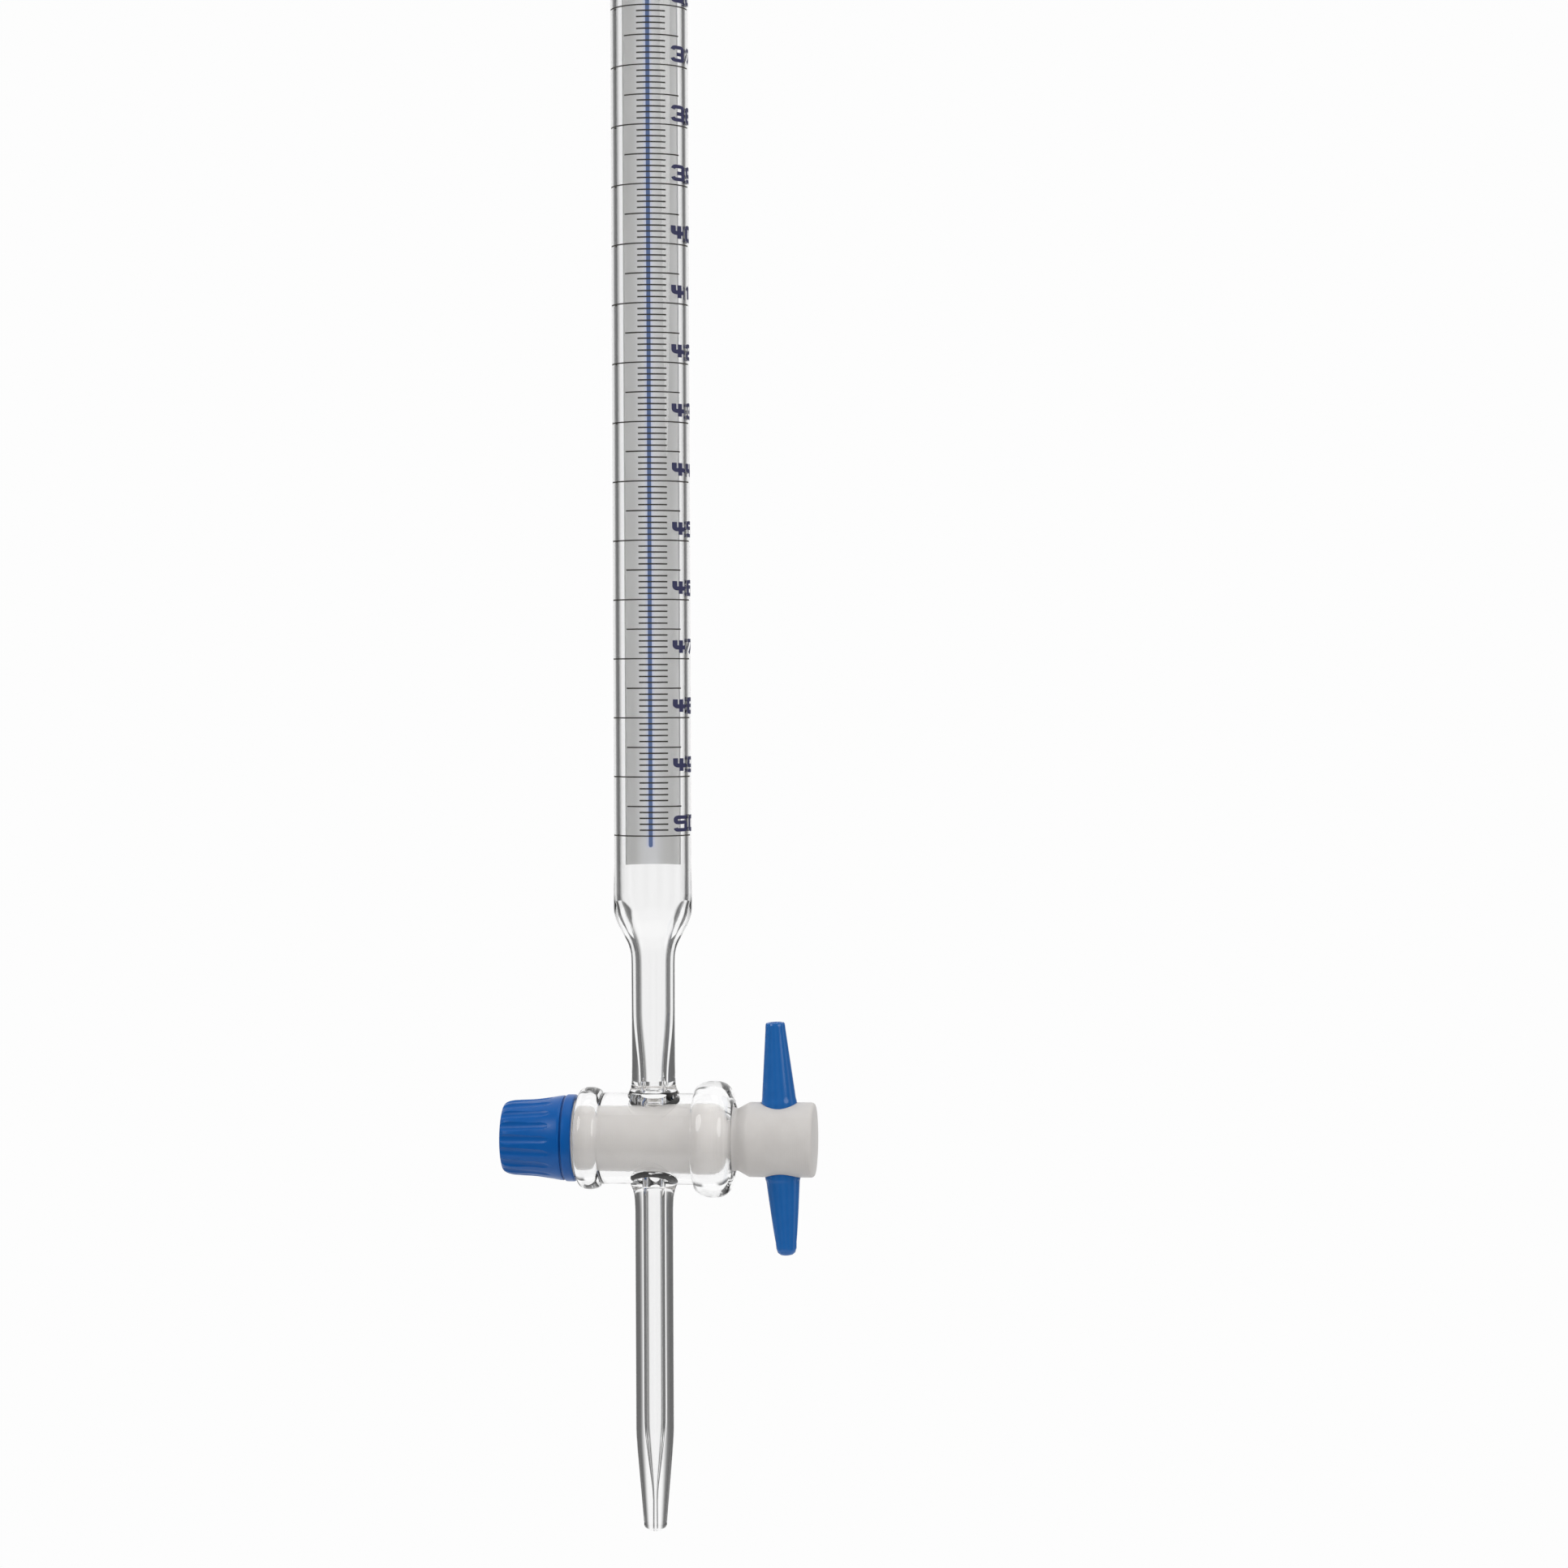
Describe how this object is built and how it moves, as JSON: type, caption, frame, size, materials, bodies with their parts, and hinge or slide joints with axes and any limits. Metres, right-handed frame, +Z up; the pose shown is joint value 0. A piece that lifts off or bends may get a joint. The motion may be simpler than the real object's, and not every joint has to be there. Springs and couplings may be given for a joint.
{
  "type": "glass burette",
  "caption": "Slender graduated glass tube on a glass stopcock with a plastic key, T handle, lock nut and drawn delivery jet.",
  "frame": {"origin": "on the axis of the graduated tube at the 25 ml line, where the stand clamp grips it", "axes": "+Z up along the tube towards the rim, +X along the stopcock axis from the lock nut towards the handle, and -Y towards the reader, out of the front where the scale is printed"},
  "size_m": [0.0539, 0.0198, 0.7489],
  "materials": {
    "graduated_tube": "clear borosilicate glass, fire polished",
    "backing_strip": "white opal enamel fused in the rear wall",
    "blue_line": "blue enamel line",
    "stopcock_barrel": "clear borosilicate glass, ground and polished bore",
    "delivery_jet": "clear borosilicate glass, drawn",
    "stopcock_key": "turned white PTFE",
    "key_handle": "blue injection-moulded plastic",
    "washer": "white PTFE",
    "tension_ring": "black nitrile rubber",
    "lock_nut": "blue glossy injection-moulded plastic"
  },
  "bodies": {
    "glass_body": {"graduated_tube": "graduated_tube", "backing_strip": "backing_strip", "blue_line": "blue_line", "stopcock_barrel": "stopcock_barrel", "delivery_jet": "delivery_jet"},
    "key": {"stopcock_key": "stopcock_key", "key_handle": "key_handle", "washer": "washer"},
    "ring": {"tension_ring": "tension_ring"},
    "nut": {"lock_nut": "lock_nut"}
  },
  "joints": [
    {"name": "key_turn", "type": "hinge", "parent": "glass_body", "child": "key", "pos_m": [0, 0, -0.3021], "axis": [1, 0, 0], "continuous": true},
    {"name": "nut_travel", "type": "slide", "parent": "key", "child": "ring", "axis": [-1, 0, 0], "range_m": [0, 0.0075]},
    {"name": "nut_unscrew", "type": "hinge", "parent": "ring", "child": "nut", "pos_m": [0, 0, -0.3021], "axis": [-1, 0, 0], "range_deg": [0, 1804.8]}
  ],
  "couplings": [
    {"joint": "nut_unscrew", "follows": "nut_travel", "rad_per_m": 4188.8}
  ]
}
